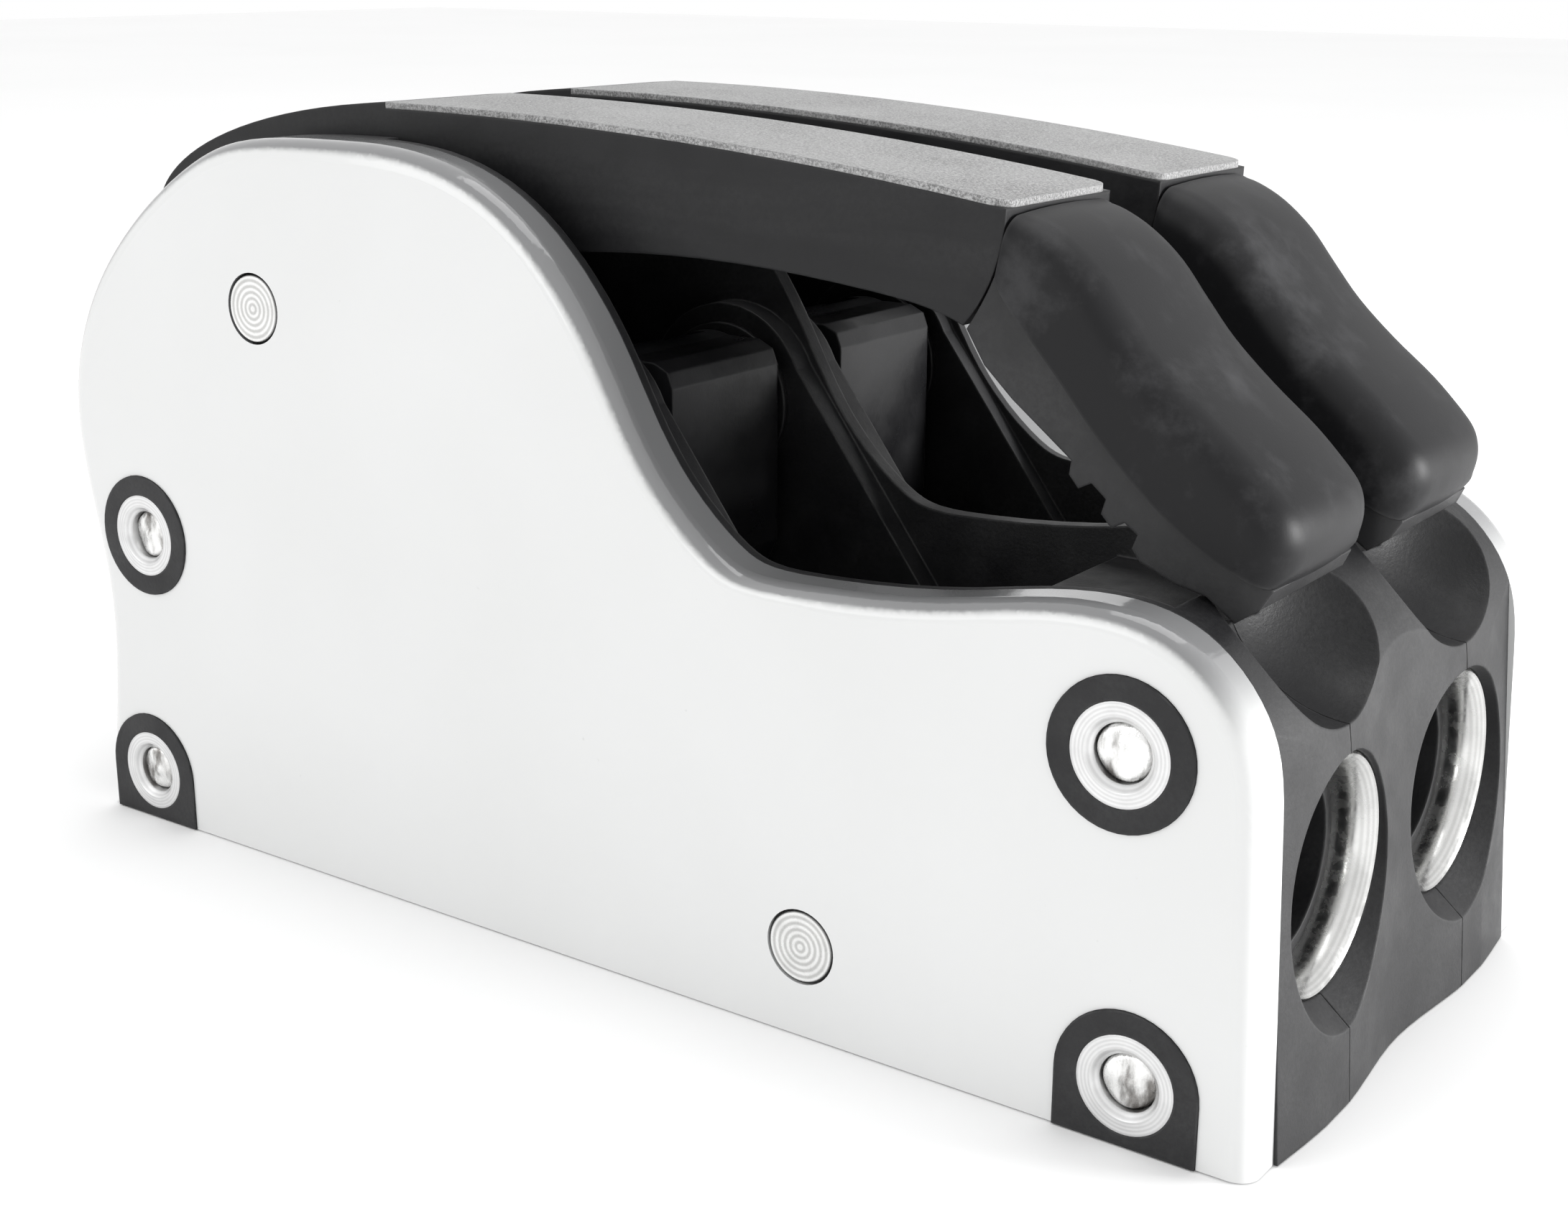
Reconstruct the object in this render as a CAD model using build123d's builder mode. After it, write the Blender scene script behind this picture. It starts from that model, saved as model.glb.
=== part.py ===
"""Twin-lane lever rope clutch.

Two rope lanes lie side by side between a pair of coated side plates.  In each lane a long hand
lever turns on one shared pivot pin and works a toothed cam jaw over a serrated lower jaw.

Row frame in millimetres: +X towards the rope entry, +Y from the near plate to the far plate, +Z up.
The origin is on the base plane, in the middle of the body's length and width.
"""
from build123d import *
from math import asin, cos, degrees, radians, sin
import os

# ---- overall sizes ------------------------------------------------------------------------------
LANE_PITCH = 36.6          # centre to centre of the two rope lanes
LANE_WIDTH = 27.6          # clear width between the lane cheeks
OUTER_WALL = 4.0           # moulding wall between a lane and its side plate
PLATE_THICK = 6.0
REAR_X = -94.0             # rear foot of the side plates
FRONT_X = 94.0             # front foot of the side plates
PLATE_EDGE = 2.6           # rounding of a plate's outer edge

# ---- clearances ---------------------------------------------------------------------------------
RUNNING_FIT = 0.05         # radial, on everything that turns on a pin
ASSEMBLY_FIT = 0.05        # radial, on pieces that are pushed together and stay still

# ---- tie rods, their spacer tubes and the bosses that carry them --------------------------------
TIE_PLACES = {
    "front_top": (76.3, 45.1),
    "front_bottom": (78.9, 7.4),
    "rear_middle": (-80.7, 44.0),
    "rear_bottom": (-82.9, 7.4),
}
TIE_TOP = ("front_top", "rear_middle")
TIE_FOOT = ("front_bottom", "rear_bottom")
TUBE_RADIUS = 5.9
TUBE_CHAMFER = 0.8
ROD_RADIUS = 3.4
ROD_CHAMFER = 0.5
ROD_RECESS = 0.9
BOSS_RADIUS = 8.75
BOSS_PROUD = 0.3           # how far a boss stands out of the plate

# ---- the two plain pins -------------------------------------------------------------------------
LEVER_PIN = (-54.5, 79.3)
LOWER_PIN = (35.4, 11.6)
PIN_RADIUS = 4.75
PIN_CHAMFER = 0.4

# ---- rope path ----------------------------------------------------------------------------------
ROPE_Z = 26.8
MOUTH_RADIUS = 14.4        # outer radius of a bush's lip
LIP_LENGTH = 3.0
BUSH_RADIUS = 13.4         # outside of a bush behind its lip
THROAT_RADIUS = 12.2       # inside of a bush at its narrowest
BUSH_LENGTH = 5.0
BORE_RADIUS = 10.6         # rope bore in the mouldings
ENTRY_FACE_X = 91.0        # plane of the entry bush's lip
EXIT_FACE_X = -90.6        # plane of the exit bush's lip

# ---- body mouldings -----------------------------------------------------------------------------
SEAM_GAP = 0.2             # open line between two mouldings on a lane's centre plane
FLOOR_THICK = 5.0
WEB_THICK = 2.2            # divider between the lanes, above the cheeks
SKIN_THICK = 1.4           # what is left of an outer wall above the cheeks
BLOCK_X = 54.0             # the front and rear blocks end this far from the middle
FRONT_BLOCK_TOP = 54.0
SHELF_END_X = 78.0         # the level top of the front block reaches this far forward
THIN_BACK_X = -36.0        # the thinned upper walls reach back to here
REAR_BLOCK_TOP = 44.0
NOSE_FOOT_X = 95.4         # front face at the base, on a lane's centre line
NOSE_TOP = (92.1, 43.0)    # front face just under the finger scoop
NOSE_DROP_MIDDLE = 1.5     # how far the front falls back between the lanes
NOSE_DROP_OUTER = 0.9      # how far it falls back at the side plates
SCOOP_RADIUS = 16.5
SCOOP_CENTRE = (92.0, 61.5)
FLARE_HALF_WIDTH = 14.2
FLARE_HALF_HEIGHT = 16.4
FLARE_DROP = 1.1           # the flare's centre lies this far under the rope line
CHEEK_ARCH = 12.9          # round top of a lane cheek, about the cam pin
RIB_TOP = (7.6, 72.6)      # the cheek's sloping front edge
RIB_FOOT = (40.0, 30.0)
CAVITY_TOP = 110.0         # above everything; upward cuts end here
PAST_REAR = -100.0         # behind everything; backward cuts end here

# ---- lower jaw ----------------------------------------------------------------------------------
JAW_SIDE_GAP = 2.8         # between a jaw and its lane's cheeks, each side
LOWER_JAW_TOP = 18.0
LOWER_JAW_BACK = -46.0
LOWER_JAW_FRONT = 44.0
SERRATION_PITCH = 5.0
SERRATION_DEPTH = 1.4

# ---- cam jaw ------------------------------------------------------------------------------------
CAM_PIN = (-4.1, 67.3)
CAM_PIN_RADIUS = 4.0
CAM_PIN_SEAT = 2.6         # how deep the pin's ends sit in the cheeks
CAM_HUB_RADIUS = 9.7
CAM_FRONT_X = 6.6
CAM_BACK_X = -20.0
CAM_SHOULDER_Z = 50.0      # the flat front face ends here and slopes back to the teeth
CAM_TOE_X = -8.0           # front end of the toothed arc
CAM_OFFSET = 8.0           # the toothed arc's centre lies this far behind the cam pin
CAM_GAP = 1.5              # between the closed cam's teeth and the lower jaw
CAM_TOOTH = 1.5
CAM_TOOTH_STEP = 4.4       # degrees between teeth
HEEL_LENGTH = 25.0         # cam pin to the middle of the heel's round tip
HEEL_RADIUS = 3.0
HEEL_WIDTH = 8.0
HEEL_TOP = 67.2
CAM_WASHER_RADIUS = 10.4

# ---- torsion spring -----------------------------------------------------------------------------
SPRING_WIRE = 0.8
SPRING_PIN_GAP = 0.8       # between the coil's inside and the cam pin
SPRING_TURNS = 3.5
SPRING_PITCH = 1.75
SPRING_SLOT = 8.4
SPRING_MIDDLE = 5.2        # across the lane, from its centre line

# ---- lever --------------------------------------------------------------------------------------
LEVER_SIDE_GAP = 1.9       # between a lever and its lane's cheeks, each side
LEVER_SKIN = 3.6
HUB_RADIUS = 12.6
HUB_BUSH_WALL = 1.6
LABEL_THICK = 0.8
LABEL_LINE = ((-40.0, 106.2), (8.3, 104.5), (53.4, 99.8))  # along the strip's top, tail to grip
TAIL_CENTRE = (-28.2, 88.5)  # the tail's top is a quarter of an ellipse about this point
TAIL_LENGTH = 58.7
TAIL_HEIGHT = 18.05
TOE_GAP = 0.35             # between the lever's toe and the cam's heel when closed
GRIP_WIDTH = 25.4
GRIP_SEAM = ((53.0, 91.6), (57.6, 85.6), (66.6, 75.4), (75.1, 67.4), (81.0, 63.8), (86.4, 61.6))
GRIP_TIP_X = 88.7
TIP_CORNER = 6.5           # rounding of a grip's tip, seen from above
CORE_RIB_WIDTH = 9.0       # stiffening rib under the grip core, on the lever's far half

# ---- deck fixings -------------------------------------------------------------------------------
DECK_BOLT_X = 61.5
INSERT_RADIUS = 6.2
INSERT_LENGTH = 10.0
INSERT_BORE = 4.0

# ---- places that follow from the sizes above ----------------------------------------------------
LANES = {"near": -LANE_PITCH / 2, "far": LANE_PITCH / 2}
HALF_LANE = LANE_WIDTH / 2
LEVER_WIDTH = LANE_WIDTH - 2 * LEVER_SIDE_GAP
JAW_WIDTH = LANE_WIDTH - 2 * JAW_SIDE_GAP
HUB_BUSH_RADIUS = PIN_RADIUS + RUNNING_FIT + HUB_BUSH_WALL
SPRING_RADIUS = CAM_PIN_RADIUS + SPRING_PIN_GAP + SPRING_WIRE
HALF_INSIDE = LANE_PITCH / 2 + HALF_LANE + OUTER_WALL
HALF_WIDTH = HALF_INSIDE + PLATE_THICK
FRONT_LEAN = (NOSE_TOP[0] - NOSE_FOOT_X) / NOSE_TOP[1]


def save(part, name):
    """Label a finished piece and write it under its node name."""
    part.label = name
    export_step(part, f"parts/{name}.step")


def side_plane(y):
    """A sketch plane whose local axes are the row's X and Z; it extrudes towards -Y."""
    return Plane(origin=(0, y, 0), x_dir=(1, 0, 0), z_dir=(0, -1, 0))


def side_outline(y, front_foot, front_knee):
    """Side view at y: rear hump, diagonal, low shoulder and rounded front."""
    with BuildSketch(side_plane(y)) as outline:
        with BuildLine():
            Line(front_foot, (REAR_X, 0))
            Spline((REAR_X, 0), (-91.4, 35.0), (-95.2, 62.0), (-88.5, 79.5), (-67.2, 97.4),
                   (-36.0, 102.0), tangents=((0.05, 1), (1, 0)))
            Spline((-36.0, 102.0), (-9.5, 95.4), (4.3, 80.7), (13.6, 65.6), (22.4, 57.6), (34.0, 55.8),
                   tangents=((1, 0), (1, 0.04)))
            Spline((34.0, 55.8), (54.0, 57.8), (72.0, 60.4), (82.2, 58.2), (90.6, 49.0), front_knee,
                   tangents=((1, 0.04), (front_foot[0] - front_knee[0], front_foot[1] - front_knee[1])))
            Line(front_knee, front_foot)
        make_face()
    return outline.sketch


def boss_outlines(y, radius):
    """The four bosses in the side plane at y; the lower two run down to the base."""
    with BuildSketch(side_plane(y)) as bosses:
        with Locations(*[TIE_PLACES[place] for place in TIE_TOP]):
            Circle(radius)
        for place in TIE_FOOT:
            x, z = TIE_PLACES[place]
            with BuildLine():
                Line((x + radius, 0), (x + radius, z))
                ThreePointArc((x + radius, z), (x, z + radius), (x - radius, z))
                Polyline((x - radius, z), (x - radius, 0), (x + radius, 0))
            make_face()
    return bosses.sketch


def side_holes(places, radius, y_low, y_high):
    """Cut round holes parallel to Y through the part that is being built."""
    with BuildSketch(side_plane(y_high)) as holes:
        with Locations(*places):
            Circle(radius)
    extrude(holes.sketch, amount=y_high - y_low, mode=Mode.SUBTRACT)


def side_bar(centre, radius, y_low, y_high):
    """Add a round bar parallel to Y to the part that is being built."""
    with BuildSketch(side_plane(y_high)) as disc:
        with Locations(centre):
            Circle(radius)
    extrude(disc.sketch, amount=y_high - y_low)


# ---- side plates --------------------------------------------------------------------------------
def side_plate(name):
    """One coated plate with two round and two arched cut-outs and its pin holes."""
    y_high = HALF_WIDTH if name == "far" else -HALF_INSIDE
    with BuildPart() as plate:
        extrude(side_outline(y_high, (FRONT_X, 0), (92.4, 37.1)), amount=PLATE_THICK)
        outer_face = plate.faces().filter_by(Axis.Y).sort_by(Axis.Y)[-1 if name == "far" else 0]
        fillet(outer_face.edges().filter_by(lambda edge: edge.center().Z > 1.0), PLATE_EDGE)
        extrude(boss_outlines(y_high, BOSS_RADIUS + ASSEMBLY_FIT), amount=PLATE_THICK, mode=Mode.SUBTRACT)
        side_holes((LEVER_PIN, LOWER_PIN), PIN_RADIUS + ASSEMBLY_FIT, y_high - PLATE_THICK, y_high)
    save(plate.part, f"{name}_side_plate")


# ---- body mouldings -----------------------------------------------------------------------------
def front_wave():
    """Plan of the material in front of the gently waved front face."""
    drops = {-HALF_INSIDE: NOSE_DROP_OUTER, LANES["near"]: 0.0, 0.0: NOSE_DROP_MIDDLE,
             LANES["far"]: 0.0, HALF_INSIDE: NOSE_DROP_OUTER}
    points = [(NOSE_FOOT_X - drop, y) for y, drop in drops.items()]
    ahead = NOSE_FOOT_X + 6
    with BuildSketch(Plane.XY) as plan:
        with BuildLine():
            Spline(*points, tangents=((0.1, 1), (-0.1, 1)))
            Polyline(points[-1], (ahead, HALF_INSIDE), (ahead, -HALF_INSIDE), points[0])
        make_face()
    return plan.sketch


def cut_lane(y_low, y_high):
    """Open the lane between the front and rear blocks, and everything above them."""
    with BuildSketch(side_plane(y_high)) as cavity:
        with BuildLine():
            Polyline((-BLOCK_X, FLOOR_THICK), (BLOCK_X, FLOOR_THICK), (BLOCK_X, FRONT_BLOCK_TOP),
                     (SHELF_END_X, FRONT_BLOCK_TOP), (SHELF_END_X, CAVITY_TOP),
                     (PAST_REAR, CAVITY_TOP), (PAST_REAR, 60.0), (-88.0, 56.5), (-72.0, 48.0),
                     (-BLOCK_X, REAR_BLOCK_TOP), close=True)
        make_face()
    extrude(cavity.sketch, amount=y_high - y_low, mode=Mode.SUBTRACT)


def cut_above_cheek(y_low, y_high):
    """Thin the wall in front of and above a cheek's arch and sloping rib."""
    pin_x, pin_z = CAM_PIN
    back = (pin_x - CHEEK_ARCH, pin_z)
    crown = (pin_x - CHEEK_ARCH * cos(radians(60)), pin_z + CHEEK_ARCH * sin(radians(60)))
    with BuildSketch(side_plane(y_high)) as above:
        with BuildLine():
            ThreePointArc(back, crown, RIB_TOP)
            Polyline(RIB_TOP, RIB_FOOT, (BLOCK_X, RIB_FOOT[1]), (BLOCK_X, FRONT_BLOCK_TOP),
                     (SHELF_END_X, FRONT_BLOCK_TOP), (SHELF_END_X, CAVITY_TOP),
                     (THIN_BACK_X, CAVITY_TOP), (THIN_BACK_X, pin_z), back)
        make_face()
    extrude(above.sketch, amount=y_high - y_low, mode=Mode.SUBTRACT)


def rope_cutter(lane_y, face_x, way):
    """Everything that one rope mouth takes out of the mouldings; way is the side it faces."""
    def across(x, z=ROPE_Z):
        return Plane(origin=(x, lane_y, z), x_dir=(0, 1, 0), z_dir=(way, 0, 0))

    with BuildPart() as cutter:
        with BuildSketch(across(0.0)):
            Circle(BORE_RADIUS)
        extrude(amount=-PAST_REAR)
        with BuildSketch(across(face_x - way * BUSH_LENGTH)):
            Circle(BUSH_RADIUS + ASSEMBLY_FIT)
        extrude(amount=BUSH_LENGTH)
        with BuildSketch(across(face_x - way * LIP_LENGTH)):
            Circle(MOUTH_RADIUS + ASSEMBLY_FIT)
        extrude(amount=LIP_LENGTH + 0.2)
        with BuildSketch(across(face_x)):
            Circle(MOUTH_RADIUS + ASSEMBLY_FIT)
        with BuildSketch(across(face_x + way * 5.0, ROPE_Z - FLARE_DROP)):
            Ellipse(FLARE_HALF_WIDTH + 1.2, FLARE_HALF_HEIGHT + 1.2)
        loft()
    return cutter.part


def finger_scoop(lane_y):
    """Ball that hollows the top of the body under a lever's grip."""
    with BuildPart() as ball:
        with Locations((SCOOP_CENTRE[0], lane_y, SCOOP_CENTRE[1])):
            Sphere(SCOOP_RADIUS)
    return ball.part


def cut_insert_pockets(lane_y):
    """Round pockets in the base for the deck bolts' threaded inserts."""
    with BuildSketch(Plane.XY) as pockets:
        with Locations((DECK_BOLT_X, lane_y), (-DECK_BOLT_X, lane_y)):
            Circle(INSERT_RADIUS + ASSEMBLY_FIT)
    extrude(pockets.sketch, amount=INSERT_LENGTH, mode=Mode.SUBTRACT)


def body_moulding(name, y_low, y_high):
    """One of the three mouldings; they meet on the lanes' centre planes."""
    lanes = [lane_y for lane_y in LANES.values() if y_low - SEAM_GAP < lane_y < y_high + SEAM_GAP]
    cutters = []
    for lane_y in lanes:
        cutters += [rope_cutter(lane_y, ENTRY_FACE_X, 1), rope_cutter(lane_y, EXIT_FACE_X, -1),
                    finger_scoop(lane_y)]
    with BuildPart() as body:
        side_view = side_outline(y_high, (NOSE_FOOT_X, 0), (NOSE_TOP[0] + 0.5, 37.0))
        extrude(side_view, amount=y_high - y_low)
        for lane_y in lanes:
            cut_lane(max(y_low, lane_y - HALF_LANE), min(y_high, lane_y + HALF_LANE))
        if name == "middle":
            cut_above_cheek(WEB_THICK / 2, y_high)
            cut_above_cheek(y_low, -WEB_THICK / 2)
        elif name == "near":
            cut_above_cheek(y_low + SKIN_THICK, y_high)
        else:
            cut_above_cheek(y_low, y_high - SKIN_THICK)
        extrude(front_wave(), amount=CAVITY_TOP, dir=(FRONT_LEAN, 0, 1), mode=Mode.SUBTRACT)
        if name != "middle":
            boss_y = -HALF_INSIDE if name == "near" else HALF_WIDTH + BOSS_PROUD
            extrude(boss_outlines(boss_y, BOSS_RADIUS), amount=PLATE_THICK + BOSS_PROUD)
        add(cutters, mode=Mode.SUBTRACT)
        for lane_y in lanes:
            cut_insert_pockets(lane_y)
        side_holes(TIE_PLACES.values(), TUBE_RADIUS + ASSEMBLY_FIT, -HALF_WIDTH - 1, HALF_WIDTH + 1)
        side_holes((LEVER_PIN, LOWER_PIN), PIN_RADIUS + ASSEMBLY_FIT, -HALF_WIDTH, HALF_WIDTH)
        for lane_y in LANES.values():
            seat = HALF_LANE + CAM_PIN_SEAT
            side_holes((CAM_PIN,), CAM_PIN_RADIUS + ASSEMBLY_FIT, lane_y - seat, lane_y + seat)
    save(body.part, f"{name}_body_moulding")


# ---- ties and pins ------------------------------------------------------------------------------
def spacer_tube(place):
    """Tube with a countersunk bore, flush with the bosses at both ends."""
    half = HALF_WIDTH + BOSS_PROUD
    with BuildPart() as tube:
        side_bar(TIE_PLACES[place], TUBE_RADIUS, -half, half)
        side_holes((TIE_PLACES[place],), ROD_RADIUS + ASSEMBLY_FIT, -half, half)
        ends = tube.faces().filter_by(Axis.Y)
        chamfer(ends.edges().filter_by(GeomType.CIRCLE)
                .filter_by(lambda edge: edge.radius < TUBE_RADIUS - 1), TUBE_CHAMFER)
    save(tube.part, f"{place}_spacer_tube")


def tie_rod(place):
    """Plain rod inside a spacer tube, a little short of the plates' faces."""
    half = HALF_WIDTH + BOSS_PROUD - ROD_RECESS
    with BuildPart() as rod:
        side_bar(TIE_PLACES[place], ROD_RADIUS, -half, half)
        chamfer(rod.faces().filter_by(Axis.Y).edges(), ROD_CHAMFER)
    save(rod.part, f"{place}_tie_rod")


def cross_pin(centre, name):
    """Turned pin that crosses both plates and all the mouldings."""
    with BuildPart() as pin:
        side_bar(centre, PIN_RADIUS, -HALF_WIDTH, HALF_WIDTH)
        chamfer(pin.faces().filter_by(Axis.Y).edges(), PIN_CHAMFER)
    save(pin.part, name)


# ---- rope bushes --------------------------------------------------------------------------------
def rope_bush(name, lane_y, face_x, way):
    """Flanged bush with a bell mouth; way is the side that its lip faces."""
    half_section = Plane(origin=(face_x, lane_y, ROPE_Z), x_dir=(1, 0, 0), z_dir=(0, -1, 0))
    with BuildPart() as bush:
        with BuildSketch(half_section):
            with BuildLine():
                Polyline((0.0, MOUTH_RADIUS - 0.4), (-way * 0.4, MOUTH_RADIUS),
                         (-way * LIP_LENGTH, MOUTH_RADIUS), (-way * LIP_LENGTH, BUSH_RADIUS),
                         (-way * BUSH_LENGTH, BUSH_RADIUS), (-way * BUSH_LENGTH, THROAT_RADIUS),
                         (-way * 3.6, THROAT_RADIUS))
                ThreePointArc((-way * 3.6, THROAT_RADIUS), (-way * 1.3, THROAT_RADIUS + 0.6),
                              (0.0, MOUTH_RADIUS - 0.4))
            make_face()
        revolve(axis=Axis((0, lane_y, ROPE_Z), (1, 0, 0)))
    save(bush.part, name)


# ---- lower jaw ----------------------------------------------------------------------------------
def lower_jaw(name, lane_y):
    """Serrated plate on the floor of a lane, located by the lower pin."""
    half = JAW_WIDTH / 2
    teeth = int((LOWER_JAW_FRONT - LOWER_JAW_BACK - 24.0) // SERRATION_PITCH)
    with BuildPart() as jaw:
        with BuildSketch(side_plane(lane_y + half)):
            with BuildLine():
                Polyline((LOWER_JAW_BACK, FLOOR_THICK), (LOWER_JAW_FRONT, FLOOR_THICK),
                         (LOWER_JAW_FRONT, LOWER_JAW_TOP - 4.0), (LOWER_JAW_FRONT - 6.0, LOWER_JAW_TOP),
                         (LOWER_JAW_BACK + 6.0, LOWER_JAW_TOP), (LOWER_JAW_BACK, LOWER_JAW_TOP - 4.0),
                         close=True)
            make_face()
            for tooth in range(teeth):
                x = LOWER_JAW_BACK + 12.0 + tooth * SERRATION_PITCH
                with BuildLine():
                    Polyline((x, LOWER_JAW_TOP + 0.1), (x + 0.6, LOWER_JAW_TOP - SERRATION_DEPTH),
                             (x + 3.0, LOWER_JAW_TOP + 0.1), close=True)
                make_face(mode=Mode.SUBTRACT)
        extrude(amount=JAW_WIDTH)
        side_holes((LOWER_PIN,), PIN_RADIUS + ASSEMBLY_FIT, lane_y - half, lane_y + half)
    save(jaw.part, name)


# ---- cam jaw ------------------------------------------------------------------------------------
def cam_jaw(name, lane_y):
    """Toothed cam with a flat front, a heel behind its hub and a slot for its spring."""
    half = JAW_WIDTH / 2
    pin_x, pin_z = CAM_PIN
    arc_x = pin_x - CAM_OFFSET
    arc_radius = pin_z - LOWER_JAW_TOP - CAM_GAP
    top_z = pin_z + CAM_HUB_RADIUS - 0.4

    def on_arc(x):
        return x, pin_z - (arc_radius ** 2 - (x - arc_x) ** 2) ** 0.5

    with BuildPart() as cam:
        with BuildSketch(side_plane(lane_y + half)):
            with Locations(CAM_PIN):
                Circle(CAM_HUB_RADIUS)
            with BuildLine():
                Polyline((pin_x, top_z), (CAM_FRONT_X - 3.0, top_z), (CAM_FRONT_X - 0.8, top_z - 1.0),
                         (CAM_FRONT_X, top_z - 3.0), (CAM_FRONT_X, CAM_SHOULDER_Z), on_arc(CAM_TOE_X))
                ThreePointArc(on_arc(CAM_TOE_X), on_arc(arc_x), on_arc(CAM_BACK_X))
                Polyline(on_arc(CAM_BACK_X), (pin_x - CAM_HUB_RADIUS, pin_z), (pin_x, top_z))
            make_face()
            first = degrees(asin((CAM_BACK_X - arc_x) / arc_radius))
            last = degrees(asin((CAM_TOE_X - arc_x) / arc_radius))
            for tooth in range(int((last - first) // CAM_TOOTH_STEP)):
                at = radians(first + (tooth + 0.5) * CAM_TOOTH_STEP)
                root = arc_radius - CAM_TOOTH
                ahead = at + radians(CAM_TOOTH_STEP * 0.45)
                behind = at - radians(CAM_TOOTH_STEP * 0.15)
                rim = arc_radius + 0.3
                with BuildLine():
                    Polyline(*[(arc_x + r * sin(a), pin_z - r * cos(a))
                               for r, a in ((rim, ahead), (root, at), (rim, behind))], close=True)
                make_face(mode=Mode.SUBTRACT)
        extrude(amount=JAW_WIDTH)
        heel_z = HEEL_TOP - HEEL_RADIUS
        with BuildSketch(side_plane(lane_y)):
            with BuildLine():
                Polyline((pin_x - 4.0, HEEL_TOP), (pin_x - HEEL_LENGTH, HEEL_TOP))
                ThreePointArc((pin_x - HEEL_LENGTH, HEEL_TOP), (pin_x - HEEL_LENGTH - HEEL_RADIUS, heel_z),
                              (pin_x - HEEL_LENGTH, heel_z - HEEL_RADIUS))
                Polyline((pin_x - HEEL_LENGTH, heel_z - HEEL_RADIUS), (pin_x - 8.0, pin_z - 16.0),
                         (pin_x - 4.0, HEEL_TOP))
            make_face()
        extrude(amount=HEEL_WIDTH)
        slot_high = lane_y + SPRING_MIDDLE + SPRING_SLOT / 2
        side_holes((CAM_PIN,), SPRING_RADIUS + SPRING_WIRE + 0.7, slot_high - SPRING_SLOT, slot_high)
        with BuildSketch(side_plane(slot_high)):
            with Locations((pin_x - 8.0, pin_z + 4.0)):
                Rectangle(16.0, 17.0)
        extrude(amount=SPRING_SLOT, mode=Mode.SUBTRACT)
        side_holes((CAM_PIN,), CAM_PIN_RADIUS + RUNNING_FIT, lane_y - half, lane_y + half)
    save(cam.part, name)


def cam_pin(name, lane_y):
    """Pin that the cam jaw turns on, seated in the lane's two cheeks."""
    half = HALF_LANE + CAM_PIN_SEAT - 0.1
    with BuildPart() as pin:
        side_bar(CAM_PIN, CAM_PIN_RADIUS, lane_y - half, lane_y + half)
        chamfer(pin.faces().filter_by(Axis.Y).edges(), PIN_CHAMFER)
    save(pin.part, name)


def cam_washers(name, lane_y):
    """Stepped thrust washers between the cam jaw and the cheeks, one on each side."""
    steps = ((CAM_WASHER_RADIUS, 0.9), (8.6, 1.5), (6.8, 2.1))
    with BuildPart() as washers:
        for side in (-1, 1):
            cheek = lane_y + side * HALF_LANE
            for radius, height in steps:
                low, high = sorted((cheek, cheek - side * height))
                side_bar(CAM_PIN, radius, low, high)
        side_holes((CAM_PIN,), CAM_PIN_RADIUS + RUNNING_FIT, lane_y - HALF_LANE, lane_y + HALF_LANE)
    save(washers.part, name)


def cam_spring(name, lane_y):
    """Torsion spring about the cam pin that lifts the jaw off the rope."""
    length = SPRING_TURNS * SPRING_PITCH
    with BuildPart() as coil:
        with BuildLine():
            path = Helix(SPRING_PITCH, length, SPRING_RADIUS)
        with BuildSketch(Plane(origin=path @ 0, z_dir=path % 0)):
            Circle(SPRING_WIRE)
        sweep(path=path, is_frenet=True)
    seat = side_plane(lane_y + SPRING_MIDDLE + length / 2) * Location((CAM_PIN[0], CAM_PIN[1], 0))
    save(seat * coil.part, name)


# ---- lever --------------------------------------------------------------------------------------
def label_line(sink):
    """Points along the label strip's top, this far under it, from the tail to the grip."""
    return [(x, z - sink) for x, z in LABEL_LINE]


def lever_outline(y):
    """Side view of the lever's arm at y, from the tail over the pivot to the grip's root."""
    top = label_line(LABEL_THICK)
    pivot_x, pivot_z = LEVER_PIN
    with BuildSketch(side_plane(y)) as outline:
        with BuildLine():
            tail = EllipticalCenterArc(TAIL_CENTRE, TAIL_LENGTH, TAIL_HEIGHT, start_angle=101.6,
                                       arc_size=78.4)
            Line(tail @ 0, top[0])
            Spline(*top, tangents=((1, 0.0), (1, -0.14)))
            ThreePointArc(top[-1], (52.3, 92.6), (48.4, 85.9))
            Spline((48.4, 85.9), (36.0, 88.6), (12.0, 90.2), (-14.0, 88.6), (-34.0, 83.0),
                   tangents=((-1, 0.45), (-1, -0.45)))
            Line((-34.0, 83.0), (-47.0, 66.8))
            ThreePointArc((-47.0, 66.8), (pivot_x, pivot_z - HUB_RADIUS - 1.8), (-64.0, 68.4))
            Spline((-64.0, 68.4), (-76.0, 74.6), (-84.0, 80.6), tail @ 1, tangents=((-1, 0.45), (0, 1)))
        make_face()
    return outline.sketch


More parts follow.
